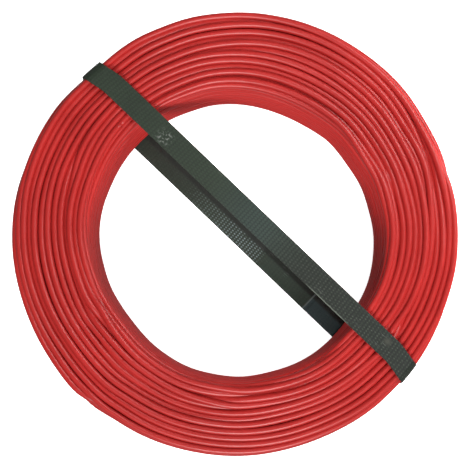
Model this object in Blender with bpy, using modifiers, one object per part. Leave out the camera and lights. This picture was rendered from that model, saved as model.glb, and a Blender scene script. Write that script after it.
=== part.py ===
"""A coil of single-core electrical wire, tied across the middle with one plastic strap.

The wire is wound in layers round an open bore and lies flat, with the coil's axis along +Z.
Its turns are so close that the wound ring is one turned solid, with every turn that shows on
its ends and sides as a ridge. The strap is one flat band that runs over the top, down the
outside at both ends and back underneath, where its own two ends are welded over each other
inside the bore.
The origin is on the coil's axis, at the floor. All sizes are in metres.
"""

import math

import bmesh
import bpy
from mathutils import Matrix, Vector

# The wire and how it is wound
WIRE_DIAMETER = 0.0028
BORE_RADIUS = 0.0628
TURNS_ACROSS = 12
ACROSS_PITCH = 0.00256
ROWS_HIGH = 17
ROW_PITCH = 0.00275
EDGE_TURN_DROP = 0.0016
CREST_WIDTH = 0.0011
GROOVE_DEPTH = 0.0008

# The strap
STRAP_WIDTH = 0.0090
STRAP_THICKNESS = 0.0006
STRAP_DIRECTION = math.radians(-43.7)
TOP_RUN_OFFSET = 0.0104
LOWER_RUN_OFFSET = 0.0033
WELD_LENGTH = 0.0300
WELD_THICKNESS = 0.0011
WELD_FROM_MIDDLE = 0.0146
WELD_STEP = 0.0003

# Gaps between the strap and the wire
SEAT_GAP = 0.0003
SIDE_GAP = 0.0004

# How finely the curves are divided: the angle or length of one face
TURN_FACE = math.radians(9.0)
BEND_FACE = math.radians(18.0)
RISE_FACE = 0.0130
STRAP_FACE = 0.0045
MERGE_DISTANCE = 0.00005
CUTTER_MARGIN = 0.0100

# Sizes that follow from those above
WIRE_RADIUS = WIRE_DIAMETER / 2
OUTER_RADIUS = BORE_RADIUS + WIRE_DIAMETER + (TURNS_ACROSS - 1) * ACROSS_PITCH
COIL_HEIGHT = WIRE_DIAMETER + (ROWS_HIGH - 1) * ROW_PITCH
STRAP_REACH = OUTER_RADIUS + SEAT_GAP + STRAP_THICKNESS
STRAP_TOP = COIL_HEIGHT + SEAT_GAP + STRAP_THICKNESS
STRAP_BEND = EDGE_TURN_DROP + WIRE_RADIUS + STRAP_THICKNESS
CHANNEL_DEPTH = STRAP_THICKNESS + SEAT_GAP
CHANNEL_WIDTH = STRAP_WIDTH + 2 * SIDE_GAP

# Colours as red, green, blue and alpha
WIRE_RED = (0.52, 0.022, 0.020, 1.0)
STRAP_GREEN = (0.042, 0.056, 0.046, 1.0)

ALONG = Vector((math.cos(STRAP_DIRECTION), math.sin(STRAP_DIRECTION), 0.0))
ACROSS = Vector((-math.sin(STRAP_DIRECTION), math.cos(STRAP_DIRECTION), 0.0))


def clear_scene():
    for thing in list(bpy.data.objects):
        bpy.data.objects.remove(thing, do_unlink=True)


def faces_for(whole, face):
    """How many faces of about this size make up the whole."""
    return max(1, round(whole / face))


def new_collection(name):
    collection = bpy.data.collections.new(name)
    bpy.context.scene.collection.children.link(collection)
    return collection


def new_material(name, colour, roughness):
    material = bpy.data.materials.new(name)
    material.use_nodes = True
    shader = material.node_tree.nodes["Principled BSDF"]
    shader.inputs["Base Color"].default_value = colour
    shader.inputs["Roughness"].default_value = roughness
    shader.inputs["Metallic"].default_value = 0.0
    return material


def new_object(name, shape, collection, material=None):
    """Turns a bmesh into a named object and frees it."""
    mesh = bpy.data.meshes.new(name)
    shape.to_mesh(mesh)
    shape.free()
    if material:
        mesh.materials.append(material)
    thing = bpy.data.objects.new(name, mesh)
    collection.objects.link(thing)
    return thing


def end_outline():
    """The upper edge of the ring's section, from the bore to the rim.

    Each turn is a flat crest between two sloping flanks. The first and the last turn sit
    lower than the others, as the shoulders of a wound ring do.
    """
    crests = [COIL_HEIGHT] * TURNS_ACROSS
    crests[0] -= EDGE_TURN_DROP
    crests[-1] -= EDGE_TURN_DROP
    points = []
    for turn, crest in enumerate(crests):
        middle = BORE_RADIUS + WIRE_RADIUS + turn * ACROSS_PITCH
        points.append((middle - CREST_WIDTH / 2, crest))
        points.append((middle + CREST_WIDTH / 2, crest))
        if turn < TURNS_ACROSS - 1:
            groove = min(crest, crests[turn + 1]) - GROOVE_DEPTH
            points.append((middle + ACROSS_PITCH / 2, groove))
    return points


def side_outline(radius, inward):
    """The rim's or the bore's edge of the section, from top to bottom, with a ridge for each row.

    The rows fill the height between the two shoulder turns. Inward is the way from the
    radius into the ring: -1 on the rim, 1 on the bore.
    """
    height = COIL_HEIGHT - EDGE_TURN_DROP - WIRE_RADIUS
    span = 2 * height - COIL_HEIGHT
    rows = faces_for(span, ROW_PITCH)
    points = [(radius, height)]
    for row in range(rows):
        points.append((radius + inward * GROOVE_DEPTH, height - span * (row + 0.5) / rows))
        points.append((radius, height - span * (row + 1) / rows))
    return points


def ring_profile():
    """The whole section at +X: out along the top, down the rim, back underneath, up the bore."""
    top = end_outline()
    rim = side_outline(OUTER_RADIUS, -1)
    bottom = [(radius, COIL_HEIGHT - height) for radius, height in reversed(top)]
    bore = list(reversed(side_outline(BORE_RADIUS, 1)))
    return top + rim + bottom + bore


def channel_cutter(collection):
    """The shallow channel that the strap's lower run presses into the turns under the coil."""
    size = Matrix.Diagonal((2 * (OUTER_RADIUS + CUTTER_MARGIN), CHANNEL_WIDTH, 2 * CHANNEL_DEPTH, 1.0))
    turn = Matrix.Rotation(STRAP_DIRECTION, 4, "Z")
    place = Matrix.Translation(ACROSS * LOWER_RUN_OFFSET)
    shape = bmesh.new()
    bmesh.ops.create_cube(shape, size=1.0, matrix=place @ turn @ size)
    cutter = new_object("strap_channel", shape, collection)
    cutter.display_type = "WIRE"
    cutter.hide_render = True
    return cutter


def make_wire_coil(collection, cutters):
    """The wound wire: its section turned about the axis, less the strap's channel."""
    shape = bmesh.new()
    ring = [shape.verts.new((radius, 0.0, height)) for radius, height in ring_profile()]
    for here, after in zip(ring, ring[1:] + ring[:1]):
        shape.edges.new((here, after))
    material = new_material("red_wire_insulation", WIRE_RED, 0.38)
    coil = new_object("wire_coil", shape, collection, material)

    screw = coil.modifiers.new("turn_section", "SCREW")
    screw.axis = "Z"
    screw.angle = 2 * math.pi
    screw.steps = faces_for(screw.angle, TURN_FACE)
    screw.render_steps = screw.steps
    screw.use_merge_vertices = True
    screw.merge_threshold = MERGE_DISTANCE
    screw.use_smooth_shade = False

    channel = coil.modifiers.new("strap_channel", "BOOLEAN")
    channel.operation = "DIFFERENCE"
    channel.solver = "EXACT"
    channel.object = channel_cutter(cutters)
    return coil


def bend(side, upper):
    """Stations of the strap's outer face round one corner, in the order the loop runs.

    A station is (reach, shift, height, welded). Its place along the strap is reach times the
    distance from the axis to the strap's end, plus shift.
    """
    stations = []
    faces = faces_for(math.pi / 2, BEND_FACE)
    for face in range(faces + 1):
        angle = math.pi / 2 * face / faces
        out = math.sin(angle) if side * upper < 0 else math.cos(angle)
        rise = math.cos(angle) if side * upper < 0 else math.sin(angle)
        middle = STRAP_TOP - STRAP_BEND if upper > 0 else STRAP_BEND
        stations.append((side, side * STRAP_BEND * (out - 1), middle + upper * STRAP_BEND * rise, False))
    return stations


def rise(side):
    """Stations between the corners of one end, going up at the far end and down at the near one."""
    low, high = STRAP_BEND, STRAP_TOP - STRAP_BEND
    faces = faces_for(high - low, RISE_FACE)
    heights = [low + (high - low) * face / faces for face in range(1, faces)]
    if side < 0:
        heights.reverse()
    return [(side, 0.0, height, False) for height in heights]


def strap_stations():
    """The whole loop: along the lower run with its weld, up the far end, back over the top, down."""
    start = WELD_FROM_MIDDLE
    finish = WELD_FROM_MIDDLE + WELD_LENGTH
    weld = [
        (0, start - WELD_STEP, 0.0, False),
        (0, start, 0.0, True),
        (0, finish, 0.0, True),
        (0, finish + WELD_STEP, 0.0, False),
    ]
    return weld + bend(1, -1) + rise(1) + bend(1, 1) + bend(-1, 1) + rise(-1) + bend(-1, -1)


def run_offset(height):
    """How far the strap's middle lies to the side of the axis: the loop leans between its runs."""
    low, high = STRAP_BEND, STRAP_TOP - STRAP_BEND
    share = min(max((height - low) / (high - low), 0.0), 1.0)
    return LOWER_RUN_OFFSET + (TOP_RUN_OFFSET - LOWER_RUN_OFFSET) * share


def strap_point(station, share):
    """A point of the strap's outer face; share runs from 0 to 1 over its width.

    The ends follow the round rim, so the reach is that of a circle at this distance from its
    middle line.
    """
    reach, shift, height, _ = station
    aside = run_offset(height) + STRAP_WIDTH * (0.5 - share)
    along = reach * math.sqrt(STRAP_REACH**2 - aside**2) + shift
    return ALONG * along + ACROSS * aside + Vector((0.0, 0.0, height))


def make_strap(collection):
    """The strap: a flat grid bent into a closed loop and given its thickness, double at the weld."""
    stations = strap_stations()
    shape = bmesh.new()
    weld_layer = shape.verts.layers.deform.verify()
    width_faces = faces_for(STRAP_WIDTH, STRAP_FACE)
    bmesh.ops.create_grid(shape, x_segments=len(stations), y_segments=width_faces, size=0.5)
    for corner in shape.verts:
        number = round((corner.co.x + 0.5) * len(stations)) % len(stations)
        share = corner.co.y + 0.5
        corner.co = strap_point(stations[number], share)
        if stations[number][3]:
            corner[weld_layer][0] = 1.0
    bmesh.ops.remove_doubles(shape, verts=shape.verts, dist=MERGE_DISTANCE)
    material = new_material("strap_plastic", STRAP_GREEN, 0.45)
    strap = new_object("strap", shape, collection, material)
    weld_group = strap.vertex_groups.new(name="weld")

    wall = strap.modifiers.new("thickness", "SOLIDIFY")
    wall.thickness = WELD_THICKNESS
    wall.offset = -1.0
    wall.use_even_offset = True
    wall.vertex_group = weld_group.name
    wall.thickness_vertex_group = STRAP_THICKNESS / WELD_THICKNESS
    return strap


def main():
    clear_scene()
    parts = new_collection("coil_of_electrical_wire")
    cutters = new_collection("cutters")
    make_wire_coil(parts, cutters)
    make_strap(parts)


main()
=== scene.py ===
"""The looks of a coil of red single-core electrical wire and of the plastic strap that ties it.

The turns that show are one closed length of wire, laid turn by turn round the section of the
ring: out across the top, down the rim, in underneath and up the bore. A second layer of turns
crosses below them, over a core whose red is darkened as painted shade. The strap is one welded
band, embossed with fine ribs that are broken into staggered dashes.
"""

import math

import bpy
import numpy as np
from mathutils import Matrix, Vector


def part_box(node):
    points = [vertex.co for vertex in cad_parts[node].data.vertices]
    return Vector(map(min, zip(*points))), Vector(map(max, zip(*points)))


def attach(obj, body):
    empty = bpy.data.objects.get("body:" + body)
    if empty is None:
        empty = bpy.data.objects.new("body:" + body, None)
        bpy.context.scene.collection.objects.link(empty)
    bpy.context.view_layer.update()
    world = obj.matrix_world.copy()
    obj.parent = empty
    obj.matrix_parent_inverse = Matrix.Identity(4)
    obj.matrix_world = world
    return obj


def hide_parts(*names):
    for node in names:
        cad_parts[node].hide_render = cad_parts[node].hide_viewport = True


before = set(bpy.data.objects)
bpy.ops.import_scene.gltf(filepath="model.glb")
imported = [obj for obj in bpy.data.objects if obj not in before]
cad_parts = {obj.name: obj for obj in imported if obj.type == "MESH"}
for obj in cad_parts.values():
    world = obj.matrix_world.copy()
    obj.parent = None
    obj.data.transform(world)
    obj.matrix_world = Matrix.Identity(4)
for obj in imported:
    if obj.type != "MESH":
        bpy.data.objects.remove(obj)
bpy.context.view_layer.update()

bl_info = {
    "name": "Coil of Electrical Wire",
    "version": (1, 0, 0),
    "blender": (4, 5, 0),
    "location": "3D View > Sidebar > Wire Coil",
    "description": "Makes the turns, strap, finishes and stage of a coil of electrical wire",
    "category": "Add Mesh",
}

MM = 0.001

# The far corner of the coil's box and both corners of the strap's, in metres
COIL_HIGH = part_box("wire_coil")[1]
STRAP_LOW, STRAP_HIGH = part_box("strap")

# The section of the ring: how round its shoulders are, how far the rim bulges half way up, and how
# far the bore widens towards the floor
SHOULDER_ROUND = 2.7 * MM
RIM_BULGE = 0.15 * MM
BORE_FLARE = 2.4 * MM

# The direction from which both layers are laid, and those towards which they slide out
LAY_START = math.radians(136.3)
LEAN_TOWARDS = math.radians(58.0)
INNER_LEAN_TOWARDS = math.radians(-57.0)

# The layer that crosses below the turns that show, and how much its corners shrink with its depth
INNER_LEAN = 2.0
INNER_TURNS = 46
INNER_DEPTH = 2.25 * MM
INNER_STATIONS = 144
INNER_SIDES = 10
CORNER_SHRINK = 0.6

# The core: its depth, its faces round the section and round the axis, how far its red is darkened
# as painted shade, and its dullness
CORE_DEPTH = 3.7 * MM
CORE_FACES = 36
CORE_STATIONS = 120
CORE_PAINTED_SHADE = 0.5
CORE_DULLNESS = 0.2

# The seeds of the two layers' straying, and its reach to the side and in depth, as a share of a turn
OUTER_SEED = 11
INNER_SEED = 23
WANDER_REACH = 0.10
HEAVE_REACH = 0.14
DEEPEST_HEAVE = 2.4 * MM
# A turn dives below its neighbours where its own slow noise, in standard deviations, is this high
DIVE_FROM = 0.8
DIVE_TO = 1.9
DIVE_DEPTH = 2.2 * MM
# How much less the turns stray on the bore's wall, where the winding drum held them
BORE_EVENNESS = 0.85

# How near two turns come to each other, in wire diameters: the soft insulation gives a little
CONTACT = 0.93
# The least way aside at which two turns still count as lying side by side, so that none swap
LEAST_SIDE = 0.35 * MM
# How strongly the winding's tension closes a gap between two turns
PULL = 0.06
# How strongly the wire's stiffness smooths its drift in each round, and how much of it is kept
STIFFNESS = 0.25
KEPT_DRIFT = 0.985

# How far the ring's outer and bore outlines stray: direction and half span in degrees, amount in mm
RIM_SWELLS = (
    (72, 40, 0.7), (45, 24, 0.35), (84, 16, 0.2), (356, 22, 0.35), (350, 14, 0.4),
    (316, 16, -0.5), (340, 12, 0.4), (30, 18, -0.5), (110, 14, -0.5), (184, 34, 0.42),
    (130, 30, -1.7), (134, 16, -0.35), (150, 16, -0.3), (168, 16, 0.4),
    (224, 16, 0.75), (230, 12, 1.0), (246, 30, 0.6), (290, 34, -0.9),
)
BORE_SWELLS = (
    (66, 52, -2.0), (34, 60, -0.75), (32, 22, -1.0), (14, 20, -0.8), (110, 16, -0.4),
    (217, 44, -2.0), (192, 16, -0.4), (240, 16, -0.3), (164, 30, -0.2), (340, 30, 0.8),
    (300, 32, 0.6), (272, 20, 0.6), (172, 20, 0.4),
)
# Where the top of the bore's wall has been pushed back, in the same form
LEANING_WALL = ((4, 56, 1.8),)
# The loose outer turn: where it dives, the span before that over which it stands out, and how far
LOOSE_TURN_END = math.radians(227.5)
LOOSE_TURN_SPAN = math.radians(34.0)
LOOSE_TURN_RISE = 0.5 * MM
# The length of its dive, the share of its span in which it stands out in full, and the shares of the
# way out and of the height over which that comes on
LOOSE_TURN_DIVE = math.radians(2.5)
LOOSE_TURN_FULL = 0.3
LOOSE_TURN_OUT = (0.90, 0.96)
LOOSE_TURN_UP = (0.6, 0.85)

# Places on the top where two turns part, or close up where the opening is negative: direction and
# half span in degrees, radius and opening in mm
PARTINGS = (
    (22, 24, 79.1, 3.0), (75, 52, 82.4, -1.7), (62, 40, 74.4, 1.3), (98, 34, 90.0, 1.2),
    (356, 34, 67.2, 2.2), (340, 26, 84.4, 1.6), (8, 26, 87.0, 1.4), (272, 24, 76.2, 1.4),
    (258, 30, 66.0, 1.0), (252, 30, 86.2, -1.4), (186, 44, 85.8, -1.3), (190, 40, 79.8, 1.2),
    (178, 36, 75.6, -1.0), (150, 24, 67.9, 0.8), (118, 20, 86.8, 1.0), (300, 24, 82.2, -1.6),
    (306, 34, 72.0, 0.8), (286, 26, 81.6, 1.8),
)
# Places on the top where a turn sinks below its neighbours, or is held up where the depth is
# negative, in the same form with the depth in mm
DIPS = (
    (34, 12, 84.6, 1.5), (80, 34, 83.2, 1.0), (270, 22, 76.6, 1.4), (250, 26, 86.6, 0.9),
    (140, 16, 70.6, 0.7), (205, 26, 76.0, 0.7), (304, 26, 81.0, 0.8), (320, 20, 75.2, -1.8),
    (4, 30, 77.4, 0.8), (348, 22, 88.6, 0.8),
)

# How sharply turns are moved to the two sides of a parting, and of a place that closes up; how far
# beside it turns still move; and how wide a dip is
PARTING_EDGE = 0.9 * MM
CLOSING_EDGE = 1.7 * MM
PARTING_REACH = 5.0 * MM
DIP_REACH = 1.3 * MM

# How the turns pass over the strap's lower run: the air between them, how far beside the strap they
# still lie level, where they are back at their own height, and up to what height turns are lifted
STRAP_AIR = 0.35 * MM
STRAP_PRESS_LEVEL = 0.4 * MM
STRAP_PRESS_FALL = 8.0 * MM
LIFTED_HEIGHT = 6.0 * MM

# Faces to one rib of the emboss, points across the band, and how near to its edges the outermost of
# them lie, as a share of its width
RIB_FACES = 5
BAND_POINTS = 28
EDGE_SHARE = 0.002
# How much of the emboss is plain ribs across the strap; the rest breaks them into staggered dashes
RIB_SHARE = 0.45
# How sharply the emboss ends at the band's edges, how much of it the weld has pressed flat, and how
# deep it is on the inner face, as a share of the outer one's depth
EDGE_SHARPNESS = 40
PRESSED_FLAT = 0.85
INNER_EMBOSS = 0.6
# How much further out the strap runs down the rim than it leaves the top, and the share of its height
# below which it does so in full
END_SPREAD = 1.5 * MM
END_SPREAD_TOP = 0.68
# The share of the way out from which the strap follows the round rim in full
RIM_FOLLOWED = 0.8
# Half of the length over which the strap eases up onto its other end where the weld starts, and of
# its step down at the weld's end
WELD_EASE = 3.0 * MM
WELD_STEP = 0.15 * MM
# How much of its lean the strap has already taken where it leaves the top, and over what length
END_LEAN = 0.24
END_LEAN_REACH = 13.0 * MM


def metres(name, description, default, **limits):
    """A setting that is a length."""
    return bpy.props.FloatProperty(
        name=name, description=description, default=default, unit="LENGTH", **limits
    )


def colour_setting(name, description, default):
    """A setting that is a colour, as linear red, green and blue."""
    return bpy.props.FloatVectorProperty(
        name=name, description=description, subtype="COLOR", size=3, default=default, min=0.0, max=1.0
    )


class CoilSizes(bpy.types.PropertyGroup):
    """The wire and the way it is wound."""

    wire_diameter: metres("Wire diameter", "Outside diameter of the wire", 0.0028, min=0.001)
    outer_radius: metres("Outer radius", "Mean radius of the ring's shoulder", COIL_HIGH.x - 0.55 * MM)
    bore_radius: metres("Bore radius", "Mean radius of the bore at the top", 0.0615)
    height: metres("Height", "Height of the ring without its strap", COIL_HIGH.z)
    turns: bpy.props.IntProperty(
        name="Turns that show", description="Turns round the section of the ring", default=62, min=20,
    )
    lean: bpy.props.FloatProperty(
        name="Lean of the turns", description="How many turns the winding slides from side to side",
        default=1.45,
    )
    stations: bpy.props.IntProperty(
        name="Stations", description="Points along each turn", default=240, min=48,
    )
    sides: bpy.props.IntProperty(
        name="Sides", description="Faces round the wire", default=14, min=6,
    )
    wander: metres("Wander", "How far a turn strays to the side", 0.0013)
    heave: metres("Heave", "How far a turn strays in depth", 0.00085)


class StrapSizes(bpy.types.PropertyGroup):
    """The strap's band and how it lies."""

    width: metres("Width", "Width of the band", 0.0095)
    thickness: metres("Thickness", "Thickness of the band", 0.0006)
    direction: bpy.props.FloatProperty(
        name="Direction", description="Direction of the strap from +X",
        default=math.radians(-43.7), subtype="ANGLE",
    )
    near_reach: metres("Near reach", "Radius of the outer face at the upper left end", 0.0918)
    far_reach: metres("Far reach", "Radius of the outer face at the lower right end", 0.0930)
    upper_offset: metres("Upper offset", "How far the upper run lies beside the axis", 0.00988)
    lower_offset: metres("Lower offset", "How far the lower run lies beside the axis", 0.00268)
    bend: metres("Bend", "Outer radius of the strap's corners", 0.0047)
    weld_start: metres("Weld start", "Distance from the middle to the overlap", 0.0146)
    weld_length: metres("Weld length", "Length of the overlap", 0.0300)
    weld_thickness: metres("Weld thickness", "Thickness of the overlap", 0.0011)
    emboss_pitch: metres("Emboss pitch", "Distance between the ribs", 0.0016)
    dash_pitch: metres("Dash pitch", "Distance between the dashes along one rib", 0.00112)
    emboss_depth: metres("Emboss depth", "Depth of the pressed pits", 0.00011)


class Finishes(bpy.types.PropertyGroup):
    """The colours of the two materials and of the floor."""

    wire_colour: colour_setting("Wire", "Colour of the insulation", (0.37, 0.017, 0.015))
    strap_colour: colour_setting("Strap", "Colour of the strap", (0.0145, 0.0245, 0.0135))
    floor_colour: colour_setting("Floor", "Colour of the floor", (0.9, 0.9, 0.9))


def bump(distance, half_span):
    """A bell that is 1 at distance 0 and 0 from half_span on: half a raised cosine, squared."""
    share = np.clip(np.abs(distance) / half_span, 0.0, 1.0)
    return (0.5 + 0.5 * np.cos(np.pi * share)) ** 2


def smooth_step(value, low, high):
    """0 below low, 1 above high, with a smooth S between them."""
    share = np.clip((value - low) / (high - low), 0.0, 1.0)
    return share * share * (3.0 - 2.0 * share)


def turned(angle, centre):
    """The signed angle from a direction to another, between minus and plus half a turn."""
    return (angle - centre + math.pi) % (2 * math.pi) - math.pi


def closed_wander(chance, count, reach, size):
    """Smooth closed noise: white noise blurred by a bell of width reach, scaled to the size."""
    waves = np.fft.rfft(chance.standard_normal(count))
    waves = waves * np.exp(-2.0 * (np.pi * np.fft.rfftfreq(count) * reach) ** 2)
    noise = np.fft.irfft(waves, count)
    return noise * size / noise.std()


def section_lengths(size):
    """The straight runs of the rounded rectangle, and the length of one rounded corner."""
    wide, tall, corner = size
    runs = np.array([wide - 2 * corner, tall - 2 * corner] * 2)
    return runs, corner * math.pi / 2


def section_point(along, depth, size, low_corner):
    """A point of a rounded rectangle: a distance along it, and a depth to its inside.

    It starts at the bore end of the top and goes out, down, in and up. Each side is a straight
    run followed by a quarter circle, whose centre lies one corner radius inside the side's end.
    """
    wide, tall, corner = size
    low_x, low_z = low_corner
    runs, arc = section_lengths(size)
    starts = np.concatenate(([0.0], np.cumsum(runs + arc)))
    along = along % starts[-1]
    across, up = np.zeros_like(along), np.zeros_like(along)
    corners = ((corner, tall), (wide, tall - corner), (wide - corner, 0.0), (0.0, corner))
    ways = ((1, 0), (0, -1), (-1, 0), (0, 1))
    outs = ((0, 1), (1, 0), (0, -1), (-1, 0))
    for side in range(4):
        inside = (along >= starts[side]) & (along < starts[side + 1])
        step = along[inside] - starts[side]
        straight = np.minimum(step, runs[side])
        swing = np.maximum(step - runs[side], 0.0) / corner
        sideways = corner * np.sin(swing) - depth[inside] * np.sin(swing)
        outward = corner * (np.cos(swing) - 1.0) - depth[inside] * np.cos(swing)
        way, out = ways[side], outs[side]
        across[inside] = low_x + corners[side][0] + way[0] * (straight + sideways) + out[0] * outward
        up[inside] = low_z + corners[side][1] + way[1] * (straight + sideways) + out[1] * outward
    return across, up


def beside_flow(along, angle, towards, radius, lay):
    """How far each point lies beside the line that a turn takes through a place on the top.

    The line goes through the radius in the direction given. From there it shifts as the turns
    do: by one pitch for each time round, and by the slide to and fro.
    """
    pitch, lean, leaning, way, start, length = lay
    slide = np.cos(angle - leaning) - math.cos(towards - leaning)
    shift = pitch * (way * turned(angle, towards) / (2 * math.pi) + lean * slide)
    return (along - (radius - start) - shift + length / 2) % length - length / 2


def places_on_top(places, along, angle, lay):
    """Each place's amount in metres, its bell along the turns, and the way beside it of each point."""
    for towards, half_span, radius, amount in places:
        towards = math.radians(towards)
        bell = bump(turned(angle, towards), math.radians(half_span))
        yield amount * MM, bell, beside_flow(along, angle, towards, radius * MM, lay)


def parted(along, angle, lay):
    """The way along the section with each parting's two sides pushed away from its middle.

    The push is half of the opening times a hyperbolic tangent of the way beside the middle, which
    changes sides there, and a bell that ends it some turns away.
    """
    moved = along.copy()
    for opening, bell, aside in places_on_top(PARTINGS, along, angle, lay):
        edge = PARTING_EDGE if opening > 0 else CLOSING_EDGE
        push = np.tanh(aside / edge) * np.exp(-(aside / PARTING_REACH) ** 2)
        moved += 0.5 * opening * push * bell
    return moved


def dipped(along, angle, lay):
    """The depth that the dips give: a bell over each dip's span and over about one turn."""
    lowered = np.zeros_like(along)
    for fall, bell, aside in places_on_top(DIPS, along, angle, lay):
        lowered += fall * bell * np.exp(-(aside / DIP_REACH) ** 2)
    return lowered


def held(place, laid):
    """Places along the wire, smoothed by its stiffness and drawn back a little to where it was laid."""
    drift = place - laid
    drift += STIFFNESS * (np.roll(drift, 1) + np.roll(drift, -1) - 2 * drift)
    return laid + KEPT_DRIFT * drift


def settled(along, depth, length, stations, wire, rounds=100):
    """Pushes turns that overlap apart, as circles in the section, until they lie side by side.

    Each round looks at the next turn and the one after it, moves a pair that is too close by
    half of what is missing each, pulls next turns with a gap between them a little together,
    smooths the wire along its length and draws it back to where it was laid.
    """
    target, level = along.copy(), depth.copy()
    wrap = np.zeros_like(along)
    for _ in range(rounds):
        for skip in (1, 2):
            reach = skip * stations
            wrap[:] = 0.0
            wrap[-reach:] = length
            side = np.maximum(np.roll(along, -reach) + wrap - along, skip * LEAST_SIDE)
            sink = np.roll(depth, -reach) - depth
            apart = np.hypot(side, sink)
            push = np.maximum(wire - apart, 0.0) * 0.5 / apart
            if skip == 1:
                push -= PULL * np.maximum(apart - wire, 0.0) / apart
            along = along - side * push + np.roll(side * push, reach)
            depth = depth - sink * push + np.roll(sink * push, reach)
        along = held(along, target)
        depth = np.maximum(held(depth, level), 0.0)
    return along, depth


def swelled(angle, swells):
    """The sum of the swells' bells in each direction, in metres."""
    total = np.zeros_like(angle)
    for towards, half_span, amount in swells:
        total += amount * MM * bump(turned(angle, math.radians(towards)), math.radians(half_span))
    return total


def stray(radius, height, angle, sizes):
    """How far the ring's outline strays from a round one at each point, in metres outwards.

    The rim's and the bore's swells fade into each other across the ring. The bore flares towards
    the floor, the rim bulges half way up, and the loose outer turn stands out until it dives.
    """
    share = np.clip((radius - sizes.bore_radius) / (sizes.outer_radius - sizes.bore_radius), 0.0, 1.0)
    level = np.clip(height / sizes.height, 0.0, 1.0)
    leaning = swelled(angle, LEANING_WALL)
    bore = swelled(angle, BORE_SWELLS) + leaning + (BORE_FLARE - leaning) * (1.0 - level) ** 2
    rim = swelled(angle, RIM_SWELLS) + RIM_BULGE * 4.0 * level * (1.0 - level)
    before_end = LOOSE_TURN_END - angle % (2 * math.pi)
    faded = smooth_step(before_end, LOOSE_TURN_FULL * LOOSE_TURN_SPAN, LOOSE_TURN_SPAN)
    loose = smooth_step(before_end, 0.0, LOOSE_TURN_DIVE) * (1.0 - faded)
    loose = loose * smooth_step(share, *LOOSE_TURN_OUT) * smooth_step(level, *LOOSE_TURN_UP)
    return rim * share ** 1.5 + bore * (1.0 - share) ** 2 + LOOSE_TURN_RISE * loose


def over_lower_run(x, y, height, sizes, strap):
    """Lifts the turns that cross the strap's lower run by its thickness, in a long low hump."""
    aside = -math.sin(strap.direction) * x + math.cos(strap.direction) * y - strap.lower_offset
    past = np.maximum(np.abs(aside) - strap.width / 2, 0.0)
    lift = (strap.thickness + STRAP_AIR) * (1.0 - smooth_step(past, STRAP_PRESS_LEVEL, STRAP_PRESS_FALL))
    low = 1.0 - smooth_step(height, 0.5 * sizes.wire_diameter, LIFTED_HEIGHT)
    return height + lift * low


def layer_section(sizes, depth, corner):
    """The rounded rectangle on which a layer lies at a depth below the outer one, and its low corner."""
    wire = sizes.wire_diameter
    wide = sizes.outer_radius - sizes.bore_radius - wire - 2 * depth
    tall = sizes.height - wire - 2 * depth
    return (wide, tall, corner), (sizes.bore_radius + wire / 2 + depth, wire / 2 + depth)


def laid_wire(sizes, strap, turns, stations, depth_inside, lean, towards, way, seed):
    """The middle line of a closed layer of turns, as points along the whole wire.

    The wire goes along the section by one turn's width for each time round, and slides to and
    fro by the lean, times the cosine of the angle from the direction that it leans towards. It
    strays less on the bore's wall. In the outer layer turns also dive, but not at the rim's
    shoulder, and part, close up and sink where the photograph shows it.
    """
    corner = SHOULDER_ROUND - depth_inside * CORNER_SHRINK
    size, low_corner = layer_section(sizes, depth_inside, corner)
    runs, arc = section_lengths(size)
    length = runs.sum() + 4 * arc
    count = turns * stations
    laid = np.arange(count) / stations
    angle = LAY_START + 2 * math.pi * laid * way
    chance = np.random.default_rng(seed)
    along = length / turns * (laid + lean * np.cos(angle - towards))
    up_bore = (along % length) - (length - runs[3] - 1.5 * arc)
    past_bore = smooth_step(up_bore, runs[3] + 0.5 * arc, runs[3] + 1.5 * arc)
    loose = 1.0 - BORE_EVENNESS * (smooth_step(up_bore, 0.0, arc) * (1.0 - past_bore))
    along += closed_wander(chance, count, WANDER_REACH * stations, sizes.wander) * loose
    depth = np.abs(closed_wander(chance, count, HEAVE_REACH * stations, sizes.heave)) * loose
    if not depth_inside:
        diving = closed_wander(chance, count, WANDER_REACH * stations, 1.0)
        from_shoulder = np.abs((along % length) - (runs[0] + 1.2 * arc))
        dive = smooth_step(diving, DIVE_FROM, DIVE_TO) * loose
        dive = dive * smooth_step(from_shoulder, 0.5 * arc, 1.5 * arc)
        lay = (length / turns, lean, towards, way, low_corner[0] + corner, length)
        depth = depth + DIVE_DEPTH * dive + dipped(along, angle, lay)
        along = parted(along, angle, lay)
    depth = DEEPEST_HEAVE * np.tanh(depth / DEEPEST_HEAVE)
    along, depth = settled(along, depth, length, stations, CONTACT * sizes.wire_diameter)
    radius, height = section_point(along, depth, size, low_corner)
    radius = radius + stray(radius, height, angle, sizes)
    x, y = radius * np.cos(angle), radius * np.sin(angle)
    height = over_lower_run(x, y, height, sizes, strap)
    return np.stack((x, y, height), axis=1)


def grid_faces(rows, columns, closed):
    """The four corners of each face of a tube's grid of points, whose two ends may be joined."""
    row = np.arange(rows if closed else rows - 1)[:, None]
    column = np.arange(columns)[None, :]
    next_row, next_column = (row + 1) % rows, (column + 1) % columns
    corners = (row * columns + column, next_row * columns + column,
               next_row * columns + next_column, row * columns + next_column)
    return np.stack(corners, axis=-1).reshape(-1, 4)


def face_uvs(u_low, u_high, v_low, v_high):
    """The corners of each face on the UV map, from where it starts and ends in both directions."""
    u = np.stack((u_low, u_high, u_high, u_low), axis=1)
    v = np.stack((v_low, v_low, v_high, v_high), axis=1)
    return np.stack((u, v), axis=2).reshape(-1, 2)


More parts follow.
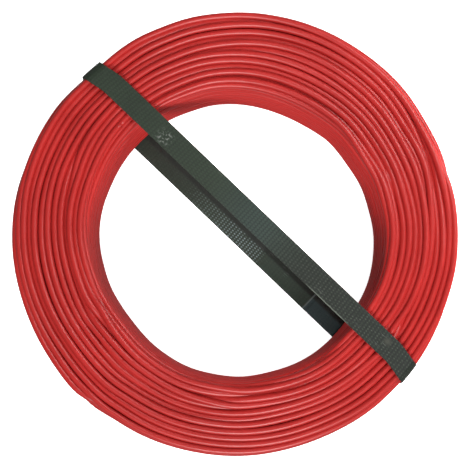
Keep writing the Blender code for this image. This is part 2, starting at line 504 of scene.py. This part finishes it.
def new_mesh_object(name, points, faces, corner_uvs, material):
    """A smooth mesh object from arrays of points, faces and the faces' corners on the UV map."""
    mesh = bpy.data.meshes.new(name)
    mesh.from_pydata(points.tolist(), [], [list(face) for face in faces])
    if corner_uvs is not None:
        layer = mesh.uv_layers.new(name="along_and_across")
        layer.data.foreach_set("uv", corner_uvs.ravel())
    mesh.shade_smooth()
    mesh.materials.append(material)
    piece = bpy.data.objects.new(name, mesh)
    bpy.context.scene.collection.objects.link(piece)
    return piece


def wire_tube(name, path, sides, wire, material, closed=False):
    """A round tube along a path: in the plane across the path, a circle of the wire's radius.

    The plane's first direction points away from the axis and is made square to the path, and
    the second is square to both. An open tube is closed at both ends with a flat face.
    """
    ahead = np.roll(path, -1, axis=0) - np.roll(path, 1, axis=0)
    if not closed:
        ahead[0] = path[1] - path[0]
        ahead[-1] = path[-1] - path[-2]
    ahead /= np.linalg.norm(ahead, axis=1)[:, None]
    out = path * (1.0, 1.0, 0.0)
    out -= ahead * np.sum(out * ahead, axis=1)[:, None]
    out /= np.linalg.norm(out, axis=1)[:, None]
    up = np.cross(out, ahead)
    round_angle = 2 * math.pi * np.arange(sides) / sides
    points = (
        path[:, None, :]
        + wire / 2 * np.cos(round_angle)[None, :, None] * out[:, None, :]
        + wire / 2 * np.sin(round_angle)[None, :, None] * up[:, None, :]
    )
    faces = grid_faces(len(path), sides, closed)
    distance = np.concatenate(([0.0], np.cumsum(np.linalg.norm(np.diff(path, axis=0), axis=1))))
    rows = len(path) if closed else len(path) - 1
    row = np.repeat(np.arange(rows), sides)
    column = np.tile(np.arange(sides), rows)
    v_low, v_high = column * wire * math.pi / sides, (column + 1) * wire * math.pi / sides
    uvs = face_uvs(distance[row], distance[(row + 1) % len(path)], v_low, v_high)
    face_list = faces.tolist()
    if not closed:
        last = (len(path) - 1) * sides
        face_list.append(list(range(sides)))
        face_list.append([last + side for side in reversed(range(sides))])
        uvs = np.concatenate((uvs, np.zeros((2 * sides, 2))))
    return new_mesh_object(name, points.reshape(-1, 3), face_list, uvs, material)


def closed_section(name, angles, across, up, material):
    """A ring from a closed section: each point goes round the axis at its radius and height."""
    turn = np.linspace(0.0, 2 * math.pi, angles, endpoint=False)[:, None]
    points = np.stack((np.cos(turn) * across, np.sin(turn) * across, np.ones_like(turn) * up), axis=2)
    faces = grid_faces(angles, len(across), True)
    return new_mesh_object(name, points.reshape(-1, 3), faces, None, material)


def strap_surface(strap):
    """The strap's points: rows along the band and columns round its section, and its UV map.

    The band's outer line is a rounded rectangle that stands on the floor and reaches round the
    ring. Each column lies at its own distance beside the axis, where the round rim is nearer.
    The band leans between its two offsets as it goes up, and stands a little further out down
    the rim. The section runs over the outer face and back over the inner one, which lies one
    thickness, or one weld, further in. The emboss is a cosine along the band for its ribs, and a
    product of a cosine of twice that length with one across the band for the staggered dashes.
    The weld, which is on the lower run only, has next to none.
    """
    half = math.sqrt(strap.near_reach**2 - strap.upper_offset**2)
    size = (2 * half, STRAP_HIGH.z - STRAP_LOW.z, strap.bend)
    runs, arc = section_lengths(size)
    length = runs.sum() + 4 * arc
    rows = round(length * RIB_FACES / strap.emboss_pitch)
    share = np.concatenate(([0.0], np.linspace(EDGE_SHARE, 1.0 - EDGE_SHARE, BAND_POINTS), [1.0]))
    columns = len(share)
    along = np.arange(rows) * length / rows
    line_x, line_z = section_point(along, np.zeros(rows), size, (-half, STRAP_LOW.z))
    inner_x, inner_z = section_point(along, np.full(rows, MM), size, (-half, STRAP_LOW.z))
    inward = np.stack((inner_x - line_x, inner_z - line_z), axis=1) / MM

    lower = smooth_step(-line_z, -2.0 * MM, -1.0 * MM)
    weld_low, weld_high = strap.weld_start, strap.weld_start + strap.weld_length
    weld = smooth_step(line_x, weld_low - WELD_EASE, weld_low + WELD_EASE)
    weld = weld * (1.0 - smooth_step(line_x, weld_high - WELD_STEP, weld_high + WELD_STEP))
    weld = weld * lower
    thickness = strap.thickness + (strap.weld_thickness - strap.thickness) * weld

    edge_round = 1.0 - (np.abs(2 * share - 1.0)) ** EDGE_SHARPNESS
    ribs_along = 2 * math.pi * along / strap.emboss_pitch
    rows_across = 2 * math.pi * share * strap.width / strap.dash_pitch
    dashes = np.cos(ribs_along[:, None] / 2) * np.cos(rows_across[None, :])
    pressed = 0.5 - 0.5 * (RIB_SHARE * np.cos(ribs_along[:, None]) + (1.0 - RIB_SHARE) * dashes)
    outer = strap.emboss_depth * pressed * (1.0 - PRESSED_FLAT * weld[:, None]) * edge_round[None, :]
    inner = thickness[:, None] - INNER_EMBOSS * outer
    depth = np.concatenate((outer, inner[:, ::-1]), axis=1)
    place = np.concatenate((share, share[::-1]))[None, :]

    level = smooth_step(line_z, strap.bend, size[1] - strap.bend)
    level = level * (1.0 - END_LEAN * smooth_step(np.abs(line_x), half - END_LEAN_REACH, half))
    offset = strap.lower_offset + (strap.upper_offset - strap.lower_offset) * level[:, None]
    aside = offset + strap.width * (0.5 - place)
    far = smooth_step(line_x, -half, half)[:, None]
    near_top = smooth_step(line_z, END_SPREAD_TOP * size[1], size[1])[:, None]
    end_reach = strap.near_reach + (strap.far_reach - strap.near_reach) * far
    end_reach = end_reach + END_SPREAD * (1.0 - near_top)
    reach = np.sqrt(end_reach**2 - aside**2) - half
    forward = line_x[:, None] + np.clip(line_x / (RIM_FOLLOWED * half), -1.0, 1.0)[:, None] * reach
    forward = forward + inward[:, 0][:, None] * depth
    height = line_z[:, None] + inward[:, 1][:, None] * depth
    cos_way, sin_way = math.cos(strap.direction), math.sin(strap.direction)
    x = cos_way * forward - sin_way * aside
    y = sin_way * forward + cos_way * aside
    points = np.stack((x, y, height), axis=2)

    widths = np.concatenate((share, 1.0 + share)) * strap.width
    row = np.repeat(np.arange(rows), 2 * columns)
    column = np.tile(np.arange(2 * columns), rows)
    v_high = np.append(widths, 2 * strap.width)[column + 1]
    return points, face_uvs(along[row], along[row] + length / rows, widths[column], v_high)


class Signal:
    """One number that changes over a surface. Sums and products of signals add Math nodes."""

    def __init__(self, finish, socket):
        self.finish = finish
        self.socket = socket

    def __add__(self, other):
        return self.finish.math("ADD", self, other)

    def __radd__(self, other):
        return self.finish.math("ADD", other, self)

    def __sub__(self, other):
        return self.finish.math("SUBTRACT", self, other)

    def __rsub__(self, other):
        return self.finish.math("SUBTRACT", other, self)

    def __mul__(self, other):
        return self.finish.math("MULTIPLY", self, other)

    def __rmul__(self, other):
        return self.finish.math("MULTIPLY", other, self)


class Finish:
    """A material and the one place where its nodes are added."""

    def __init__(self, name):
        self.material = bpy.data.materials.new(name)
        self.material.use_nodes = True
        self.tree = self.material.node_tree
        self.shader = self.tree.nodes["Principled BSDF"]
        coordinates = self.node("ShaderNodeTexCoord")
        self.object_place = coordinates.outputs["Object"]
        self.surface_place = coordinates.outputs["UV"]

    def node(self, kind, inputs=None, **settings):
        """Adds a node, sets its settings, then gives its sockets their values or links."""
        node = self.tree.nodes.new(kind)
        for key, value in settings.items():
            setattr(node, key, value)
        for key, value in (inputs or {}).items():
            self.feed(node.inputs[key], value)
        return node

    def feed(self, socket, value):
        """Links a signal or socket, or sets a plain value."""
        if isinstance(value, Signal):
            value = value.socket
        if isinstance(value, bpy.types.NodeSocket):
            self.tree.links.new(value, socket)
        else:
            socket.default_value = value

    def dress(self, looks):
        """Gives the shader's sockets their links or plain values, and returns the material."""
        for name, value in looks.items():
            self.feed(self.shader.inputs[name], value)
        return self.material

    def math(self, operation, first, second=0.0):
        """A Math node on one or two signals or numbers."""
        node = self.node("ShaderNodeMath", {0: first, 1: second}, operation=operation)
        return Signal(self, node.outputs[0])

    def limited(self, signal, low, high):
        """0 where the signal is below low, 1 above high, and a straight rise between them."""
        inputs = {"Value": signal, "From Min": low, "From Max": high}
        return Signal(self, self.node("ShaderNodeMapRange", inputs, clamp=True).outputs["Result"])

    def noise(self, place, scale, detail):
        """Soft noise from 0 to 1."""
        inputs = {"Vector": place, "Scale": scale, "Detail": detail}
        return Signal(self, self.node("ShaderNodeTexNoise", inputs).outputs["Fac"])

    def streaks(self, along, across, detail):
        """Soft noise on the UV map, with a scale along the wire or band and another across it."""
        inputs = {"Vector": self.surface_place, "Scale": (along, across, 1.0)}
        return self.noise(self.node("ShaderNodeMapping", inputs).outputs["Vector"], 1.0, detail)

    def near(self, signal, middle, full, none):
        """1 as far as the full distance from a middle, 0 from the other distance on."""
        return 1.0 - self.limited(self.math("ABSOLUTE", signal - middle), full, none)

    def cosine(self, signal):
        return self.math("COSINE", signal)

    def turned(self, place, angle):
        """A place turned about the vertical axis."""
        inputs = {"Vector": place, "Rotation": (0.0, 0.0, angle)}
        return self.node("ShaderNodeMapping", inputs).outputs["Vector"]

    def part(self, place, index):
        """One direction of a place: 0, 1 or 2."""
        return Signal(self, self.node("ShaderNodeSeparateXYZ", {0: place}).outputs[index])

    def blend(self, factor, first, second):
        """A colour between two others."""
        return self.node("ShaderNodeMix", {0: factor, 6: first, 7: second}, data_type="RGBA").outputs[2]

    def bump(self, height, strength, distance):
        """A normal that tilts with the height."""
        inputs = {"Height": height, "Strength": strength, "Distance": distance}
        return self.node("ShaderNodeBump", inputs).outputs["Normal"]


def shade(colour, factor):
    """A colour made lighter or darker, with its alpha."""
    return (*(min(1.0, part * factor) for part in colour), 1.0)


# The bore's wall has a brighter red painted on as painted light, and is rougher there: full inside
# one radius and none outside the other. It fades to the left and towards the top
BORE_PAINTED_LIGHT_RADIUS = (0.0640, 0.0675)
BORE_PAINTED_LIGHT_ACROSS = (-55.0 * MM, -5.0 * MM)
BORE_PAINTED_LIGHT_TOP = (40.0 * MM, 45.0 * MM)
BORE_PAINTED_LIGHT_RED = (0.62, 0.022, 0.019, 1.0)


def wire_finish(name, colour, dullness=0.0):
    """Smooth PVC: soft patches of tone, fine die lines along the wire, dust, light scuffs, and a
    brighter red on the bore's wall that is painted light.
    """
    finish = Finish(name)
    limited, noise = finish.limited, finish.noise
    patches = noise(finish.object_place, 34.0, 3.0)
    mottle = noise(finish.object_place, 420.0, 2.0)
    lines = finish.streaks(30.0, 2600.0, 3.0)
    specks = limited(noise(finish.object_place, 1500.0, 1.0), 0.72, 0.80)
    strokes = finish.streaks(260.0, 900.0, 4.0)
    scuffs = limited(strokes, 0.60, 0.76) * limited(patches, 0.50, 0.62)
    tone = limited(patches * 0.7 + mottle * 0.3, 0.30, 0.70)
    base = finish.blend(tone, shade(colour, 0.88), shade(colour, 1.10))
    dust = (min(1.0, colour[0] * 1.15), colour[1] + 0.05, colour[2] + 0.045, 1.0)
    base = finish.blend(specks * 0.25 + scuffs * 0.07, base, dust)
    across, back, height = (finish.part(finish.object_place, index) for index in range(3))
    # A brighter red painted on the bore's wall as painted light
    outside = limited(across * across + back * back, *(radius**2 for radius in BORE_PAINTED_LIGHT_RADIUS))
    bore_painted_light = (1.0 - outside) * (0.25 + limited(across, *BORE_PAINTED_LIGHT_ACROSS) * 0.75)
    bore_painted_light = bore_painted_light * (1.0 - limited(height, *BORE_PAINTED_LIGHT_TOP))
    base = finish.blend(bore_painted_light * 0.7, base, BORE_PAINTED_LIGHT_RED)
    return finish.dress({
        "Base Color": base,
        "Roughness": 0.33 + dullness + tone * 0.05 + scuffs * 0.04 + specks * 0.10 + bore_painted_light * 0.20,
        "Specular IOR Level": 0.42,
        "Metallic": 0.0,
        "Normal": finish.bump(lines * 0.7 + mottle * 0.05, 0.03, 0.00012),
    })


# The heights over which the marks of the lower run end and those of the upper run begin
LOWER_RUN_END = (1.6 * MM, 2.6 * MM)
UPPER_RUN_START = (44.0 * MM, 46.0 * MM)

# Stretches along the strap over which a change of tone, painted highlight or painted shade comes on or
# ends
CONTRAST_RISE = (-20.0 * MM, 50.0 * MM)
PALE_GREY_CRESTS_RISE = (5.0 * MM, 45.0 * MM)
DARKER_FAR_END_RISE = (8.0 * MM, 32.0 * MM)
FAR_LEFT_END = (-44.0 * MM, -12.0 * MM)
PAINTED_RIB_HIGHLIGHT_RISE = (-34.0 * MM, 0.0)
PAINTED_RIB_HIGHLIGHT_END = (12.5 * MM, 15.0 * MM)
# The same beside the axis, on the lower run: where the painted highlight on its ribs ends and where
# the painted shadow of the upper run begins
PAINTED_RIB_HIGHLIGHT_EDGE = (4.7 * MM, 5.7 * MM)
PAINTED_SHADOW_EDGE = (4.3 * MM, 5.3 * MM)
# How soon the strap's plain tone changes at the weld's cut end
WELD_CUT = 0.3 * MM

# Single marks, along the strap and beside the axis: the middle, how far from it the mark is full, and
# where it ends
SPOT_ALONG = (76.0 * MM, 0.4 * MM, 2.2 * MM)
SPOT_ASIDE = (11.4 * MM, 0.3 * MM, 2.0 * MM)
SCRATCHES_ALONG = (-49.0 * MM, 1.2 * MM, 4.2 * MM)
SCRATCHES_ASIDE = (8.8 * MM, 1.6 * MM, 3.6 * MM)
# A bluish painted reflection of an overhead lamp in the middle of the upper run
PAINTED_SHEEN_ALONG = (4.0 * MM, 4.0 * MM, 26.0 * MM)
# A painted highlight along the upper run's lower edge
PAINTED_EDGE_HIGHLIGHT_ALONG = (47.0 * MM, 8.0 * MM, 13.0 * MM)

# The strap's tones that aren't a lighter or darker shade of its colour
# The bluish tone is a painted reflection
PAINTED_SHEEN_TONE = (0.024, 0.042, 0.040, 1.0)
# Paler grey for the crests at the upper run's far end
PALE_GREY_CREST_TONE = (0.19, 0.20, 0.17, 1.0)
# A painted highlight of an overhead lamp on the lower run's ribs
PAINTED_RIB_HIGHLIGHT_TONE = (0.19, 0.24, 0.26, 1.0)
WELD_TONE = (0.022, 0.035, 0.028, 1.0)
BEYOND_WELD_TONE = (0.017, 0.036, 0.040, 1.0)
CUT_END_TONE = (0.15, 0.18, 0.18, 1.0)
# The tone of the painted highlight along the upper run's edge
PAINTED_EDGE_HIGHLIGHT_TONE = (0.13, 0.15, 0.12, 1.0)
SPOT_TONE = (0.080, 0.073, 0.058, 1.0)
SCUFFED_TONE = (0.26, 0.27, 0.25, 1.0)


def strap_finish(name, colour, strap):
    """Embossed strap plastic: painted shade in its pits, painted highlights on its crests, scuffs and
    scratches.

    The relief is the same sum of cosines as the surface's own. The marks that show in the
    photograph lie at their own places along the strap: a painted highlight on the lower run's ribs
    up to the weld, and the upper run's painted shadow along the lower run's edge; the weld with its
    pale cut end; a painted highlight along the upper run's edge, paler grey crests and a darker tone
    at the far end of the upper run, and a bluish painted reflection in its middle; a few scratches
    near its other end, and a smooth brown spot.
    """
    finish = Finish(name)
    limited, near = finish.limited, finish.near
    ribs_along = finish.part(finish.surface_place, 0) * (2 * math.pi / strap.emboss_pitch)
    rows = finish.cosine(finish.part(finish.surface_place, 1) * (2 * math.pi / strap.dash_pitch))
    dashes = finish.cosine(ribs_along * 0.5) * rows
    relief = finish.cosine(ribs_along) * RIB_SHARE + dashes * (1.0 - RIB_SHARE)
    laid = finish.turned(finish.object_place, -strap.direction)
    along, aside, height = (finish.part(laid, index) for index in range(3))
    lower = 1.0 - limited(height, *LOWER_RUN_END)
    upper = limited(height, *UPPER_RUN_START)

    spot = near(along, *SPOT_ALONG) * near(aside, *SPOT_ASIDE) * upper
    weld = limited(along, strap.weld_start - WELD_EASE, strap.weld_start + WELD_EASE)
    weld_end = strap.weld_start + strap.weld_length
    past_weld = limited(along, weld_end, weld_end + WELD_CUT)
    weld = weld * (1.0 - past_weld) * lower
    plain = 1.0 - (1.0 - spot * 0.8) * (1.0 - weld * 0.45)
    emboss = relief * 0.5 * (1.0 - plain) + 0.5

    patches = finish.noise(finish.object_place, 60.0, 4.0)
    grain = finish.noise(finish.object_place, 900.0, 2.0)
    strokes = finish.streaks(160.0, 1900.0, 3.0)
    scuffs = limited(strokes, 0.62, 0.76) * limited(patches, 0.54, 0.66) * 0.35
    scratched = near(along, *SCRATCHES_ALONG) * near(aside, *SCRATCHES_ASIDE) * upper
    scuffs = scuffs + scratched * limited(grain, 0.50, 0.66) * 0.55

    # The emboss's lighter crests are a painted highlight and its darker pits painted shade, both
    # stronger towards the far end
    contrast = limited(along, *CONTRAST_RISE)
    crests = limited(emboss, 0.50, 0.92)
    # A bluish painted reflection of an overhead lamp in the middle of the upper run
    painted_sheen_middle = near(along, *PAINTED_SHEEN_ALONG) * upper
    # Darker towards the upper run's far end
    darker_far_end = limited(along, *DARKER_FAR_END_RISE) * upper
    far_left = (1.0 - limited(along, *FAR_LEFT_END)) * lower
    # Paler grey on the crests towards the upper run's far end
    pale_grey_crests = limited(along, *PALE_GREY_CRESTS_RISE) * upper
    pale_grey_crests = pale_grey_crests * limited(emboss, 0.80, 0.97) * limited(grain, 0.40, 0.60)
    # Painted shade in the emboss's pits
    pits = 1.0 - limited(emboss, 0.25, 0.50)
    # A painted highlight of an overhead lamp on the lower run's ribs, which stops where the upper run's
    # painted shadow begins
    lower_ribs_painted_highlight = limited(along, *PAINTED_RIB_HIGHLIGHT_RISE) * (1.0 - limited(along, *PAINTED_RIB_HIGHLIGHT_END)) * lower
    lower_ribs_painted_highlight = lower_ribs_painted_highlight * (1.0 - limited(aside, *PAINTED_RIB_HIGHLIGHT_EDGE))
    ribs = limited(emboss, 0.50, 0.90) * limited(grain, 0.25, 0.6)
    # The upper run's painted shadow, darkening the lower run's edge beneath it
    painted_shadow_of_upper_run = limited(aside, *PAINTED_SHADOW_EDGE) * lower
    cut_end = near(along, weld_end, 0.15 * MM, 0.55 * MM) * lower
    # A painted highlight along the upper run's lower edge
    edge = strap.upper_offset - strap.width / 2
    edge_painted_highlight = 1.0 - limited(aside, edge + 0.2 * MM, edge + 0.55 * MM)
    edge_painted_highlight = edge_painted_highlight * near(along, *PAINTED_EDGE_HIGHLIGHT_ALONG) * upper

    base = finish.blend(limited(patches, 0.3, 0.7), shade(colour, 0.80), shade(colour, 1.15))
    layers = (
        (crests * (0.30 + contrast * 0.15), shade(colour, 1.6)),
        (painted_sheen_middle * 0.5, PAINTED_SHEEN_TONE),
        (darker_far_end * 0.85, shade(colour, 0.40)),
        (far_left * 0.6, shade(colour, 0.35)),
        (pale_grey_crests * 0.30, PALE_GREY_CREST_TONE),
        (pits * (0.30 + contrast * 0.7), shade(colour, 0.10)),
        (lower_ribs_painted_highlight * ribs * 0.85, PAINTED_RIB_HIGHLIGHT_TONE),
        (weld * 0.5, WELD_TONE),
        (past_weld * lower * 0.8, BEYOND_WELD_TONE),
        (painted_shadow_of_upper_run * 0.9, shade(colour, 0.2)),
        (cut_end * 0.5, CUT_END_TONE),
        (edge_painted_highlight * 0.7, PAINTED_EDGE_HIGHLIGHT_TONE),
        (spot * 0.35, SPOT_TONE),
        (scuffs + grain * 0.05, SCUFFED_TONE),
    )
    for amount, tone in layers:
        base = finish.blend(amount, base, tone)
    return finish.dress({
        "Base Color": base,
        "Roughness": 0.50 + patches * 0.12 + grain * 0.08 + weld * 0.22 - lower_ribs_painted_highlight * 0.08,
        "Specular IOR Level": 0.36,
        "Metallic": 0.0,
        "Normal": finish.bump(emboss * 0.8 + grain * 0.2, 0.45, 0.0003),
    })


def floor_finish(name, colour):
    """A pale, evenly lit floor with the faintest change of tone."""
    finish = Finish(name)
    tone = finish.noise(finish.object_place, 3.0, 2.0)
    base = finish.blend(tone, shade(colour, 0.98), shade(colour, 1.02))
    return finish.dress({
        "Base Color": base, "Emission Color": base, "Emission Strength": 1.0, "Roughness": 0.9,
    })


# The turns in the order that the wire is laid, by where most of each lies: first turn and last
TURN_GROUPS = (
    ("top_turns", 0, 14), ("rim_turns", 14, 31), ("underside_turns", 31, 45), ("bore_turns", 45, 62),
)


class COIL_OT_outer_turns(bpy.types.Operator):
    """Lays the turns that show, round the whole section of the ring"""

    bl_idname = "coil.outer_turns"
    bl_label = "Outer Turns"

    def execute(self, context):
        scene = context.scene
        sizes = scene.coil_sizes
        path = laid_wire(
            sizes, scene.strap_sizes, sizes.turns, sizes.stations, depth_inside=0.0,
            lean=sizes.lean, towards=LEAN_TOWARDS, way=1, seed=OUTER_SEED,
        )
        path = np.concatenate((path, path[:1]))
        material = wire_finish("red_insulation", scene.finishes.wire_colour)
        for name, first, last in TURN_GROUPS:
            part = path[first * sizes.stations:last * sizes.stations + 1]
            piece = wire_tube(name, part, sizes.sides, sizes.wire_diameter, material)
            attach(piece, "root")
            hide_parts("wire_coil")
        return {"FINISHED"}


class COIL_OT_inner_turns(bpy.types.Operator):
    """Lays the second layer of turns, which crosses below the first, and the core behind it"""

    bl_idname = "coil.inner_turns"
    bl_label = "Inner Turns"

    def execute(self, context):
        scene = context.scene
        sizes = scene.coil_sizes
        path = laid_wire(
            sizes, scene.strap_sizes, INNER_TURNS, INNER_STATIONS, depth_inside=INNER_DEPTH,
            lean=INNER_LEAN, towards=INNER_LEAN_TOWARDS, way=-1, seed=INNER_SEED,
        )
        material = wire_finish("red_insulation_below", scene.finishes.wire_colour)
        turns = wire_tube(
            "inner_turns", path[::-1], INNER_SIDES, sizes.wire_diameter, material, closed=True
        )
        size, low_corner = layer_section(sizes, CORE_DEPTH, 0.5 * SHOULDER_ROUND)
        runs, arc = section_lengths(size)
        along = np.linspace(0.0, runs.sum() + 4 * arc, CORE_FACES, endpoint=False)
        across, up = section_point(along, np.zeros(CORE_FACES), size, low_corner)
        # The core's red is the wire's own, darkened as painted shade
        dark = tuple(CORE_PAINTED_SHADE * part for part in scene.finishes.wire_colour)
        core_material = wire_finish("red_insulation_core", dark, CORE_DULLNESS)
        core = closed_section("winding_core", CORE_STATIONS, across[::-1], up[::-1], core_material)
        for piece in (turns, core):
            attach(piece, "root")
            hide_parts("wire_coil")
        return {"FINISHED"}


class COIL_OT_strap(bpy.types.Operator):
    """Makes the embossed strap with its welded overlap"""

    bl_idname = "coil.strap"
    bl_label = "Strap"

    def execute(self, context):
        scene = context.scene
        strap = scene.strap_sizes
        points, uvs = strap_surface(strap)
        material = strap_finish("embossed_strap_plastic", scene.finishes.strap_colour, strap)
        rows, columns = points.shape[:2]
        faces = grid_faces(rows, columns, True)
        piece = new_mesh_object("tying_strap", points.reshape(-1, 3), faces, uvs, material)
        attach(piece, "root")
        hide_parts("strap")
        return {"FINISHED"}


# The camera looks straight down from a place beside the axis; its shift brings the coil to the
# middle of the frame, as in the photograph
CAMERA_PLACE = (0.0037, -0.0174, 0.3900)
FRAME_MIDDLE = (-0.0002, -0.0002, 0.0470)
FRAME_WIDTH_AT_TOP = 0.1945
SENSOR_WIDTH = 36.0
# The distances between which the camera sees, and half of the floor's width, in metres
CLIP_START = 0.01
CLIP_END = 20.0
FLOOR_HALF = 6.0

# Softboxes: name, compass direction and tilt from straight up in degrees, distance, size, power,
# and whether they show in gloss
SOFTBOXES = (
    ("near_softbox", 275, 43, 0.95, 0.40, 8.7, True),
    ("far_right_softbox", 40, 34, 0.42, 0.16, 0.75, True),
    ("right_softbox", 20, 74, 0.40, 0.25, 1.00, False),
    ("table_glow", 20, 87, 0.25, 0.07, 0.90, False),
    ("overhead_lamp", 0, 0, 1.20, 0.025, 3.8, False),
)
# The light from above and from the pale floor, and how far from level they fade into each other
SKY_STRENGTH = 0.14
FLOOR_GLOW = 0.40
HORIZON_FADE = 0.1


class COIL_OT_stage(bpy.types.Operator):
    """Makes the floor, the soft lights and the camera"""

    bl_idname = "coil.stage"
    bl_label = "Stage"

    def execute(self, context):
        scene = context.scene
        self.make_floor(scene)
        for softbox in SOFTBOXES:
            self.make_softbox(scene, *softbox)
        self.make_camera(scene)
        self.make_world(scene)
        scene.view_settings.view_transform = "Standard"
        return {"FINISHED"}

    def make_world(self, scene):
        """White light all round, whose strength goes from the floor's to the sky's at the horizon."""
        world = bpy.data.worlds.new("studio")
        world.use_nodes = True
        nodes, links = world.node_tree.nodes, world.node_tree.links
        backdrop = nodes["Background"]
        backdrop.inputs["Color"].default_value = (1.0, 1.0, 1.0, 1.0)
        way = nodes.new("ShaderNodeTexCoord")
        upward = nodes.new("ShaderNodeSeparateXYZ")
        strength = nodes.new("ShaderNodeMapRange")
        strength.inputs["From Min"].default_value = -HORIZON_FADE
        strength.inputs["From Max"].default_value = HORIZON_FADE
        strength.inputs["To Min"].default_value = FLOOR_GLOW
        strength.inputs["To Max"].default_value = SKY_STRENGTH
        links.new(way.outputs["Generated"], upward.inputs[0])
        links.new(upward.outputs["Z"], strength.inputs["Value"])
        links.new(strength.outputs["Result"], backdrop.inputs["Strength"])
        scene.world = world

    def make_floor(self, scene):
        """A square floor at the height on which the coil lies."""
        corners = FLOOR_HALF * np.array([(-1, -1, 0), (1, -1, 0), (1, 1, 0), (-1, 1, 0)])
        material = floor_finish("pale_floor", scene.finishes.floor_colour)
        floor = new_mesh_object("floor", corners, [[0, 1, 2, 3]], None, material)
        floor.visible_diffuse = False
        floor.visible_glossy = False

    def make_softbox(self, scene, name, compass, tilt, distance, size, power, in_gloss):
        """A square area light that faces the coil from a compass direction and a tilt."""
        light = bpy.data.lights.new(name, "AREA")
        light.shape = "SQUARE"
        light.size = size
        light.energy = power
        lamp = bpy.data.objects.new(name, light)
        scene.collection.objects.link(lamp)
        turn, lean = math.radians(compass), math.radians(tilt)
        away = Vector((math.cos(turn) * math.sin(lean), math.sin(turn) * math.sin(lean), math.cos(lean)))
        lamp.location = away * distance
        lamp.rotation_euler = away.to_track_quat("Z", "Y").to_euler()
        lamp.visible_glossy = in_gloss

    def make_camera(self, scene):
        """The camera looks along -Z with the photograph's upper edge towards +Y."""
        place = Vector(CAMERA_PLACE)
        aside = (Vector(FRAME_MIDDLE) - place) / FRAME_WIDTH_AT_TOP
        data = bpy.data.cameras.new("camera")
        data.sensor_fit = "HORIZONTAL"
        data.sensor_width = SENSOR_WIDTH
        data.lens = SENSOR_WIDTH * -aside.z
        data.shift_x = aside.x
        data.shift_y = aside.y
        data.clip_start = CLIP_START
        data.clip_end = CLIP_END
        camera = bpy.data.objects.new("camera", data)
        camera.location = place
        scene.collection.objects.link(camera)
        scene.camera = camera


class VIEW3D_PT_wire_coil(bpy.types.Panel):
    """Lists the coil's makers and sizes in the sidebar"""

    bl_label = "Wire Coil"
    bl_space_type = "VIEW_3D"
    bl_region_type = "UI"
    bl_category = "Wire Coil"

    def draw(self, context):
        layout = self.layout
        for maker in MAKERS:
            layout.operator(maker.bl_idname)
        for group in (context.scene.coil_sizes, context.scene.strap_sizes, context.scene.finishes):
            box = layout.box()
            for name in group.__annotations__:
                box.prop(group, name)


MAKERS = (COIL_OT_stage, COIL_OT_outer_turns, COIL_OT_inner_turns, COIL_OT_strap)
CLASSES = (CoilSizes, StrapSizes, Finishes, *MAKERS, VIEW3D_PT_wire_coil)


def register():
    for each in CLASSES:
        bpy.utils.register_class(each)
    bpy.types.Scene.coil_sizes = bpy.props.PointerProperty(type=CoilSizes)
    bpy.types.Scene.strap_sizes = bpy.props.PointerProperty(type=StrapSizes)
    bpy.types.Scene.finishes = bpy.props.PointerProperty(type=Finishes)


def unregister():
    del bpy.types.Scene.coil_sizes
    del bpy.types.Scene.strap_sizes
    del bpy.types.Scene.finishes
    for each in reversed(CLASSES):
        bpy.utils.unregister_class(each)


def main():
    register()
    bpy.ops.coil.stage()
    bpy.ops.coil.outer_turns()
    bpy.ops.coil.inner_turns()
    bpy.ops.coil.strap()


if __name__ == "__main__":
    main()
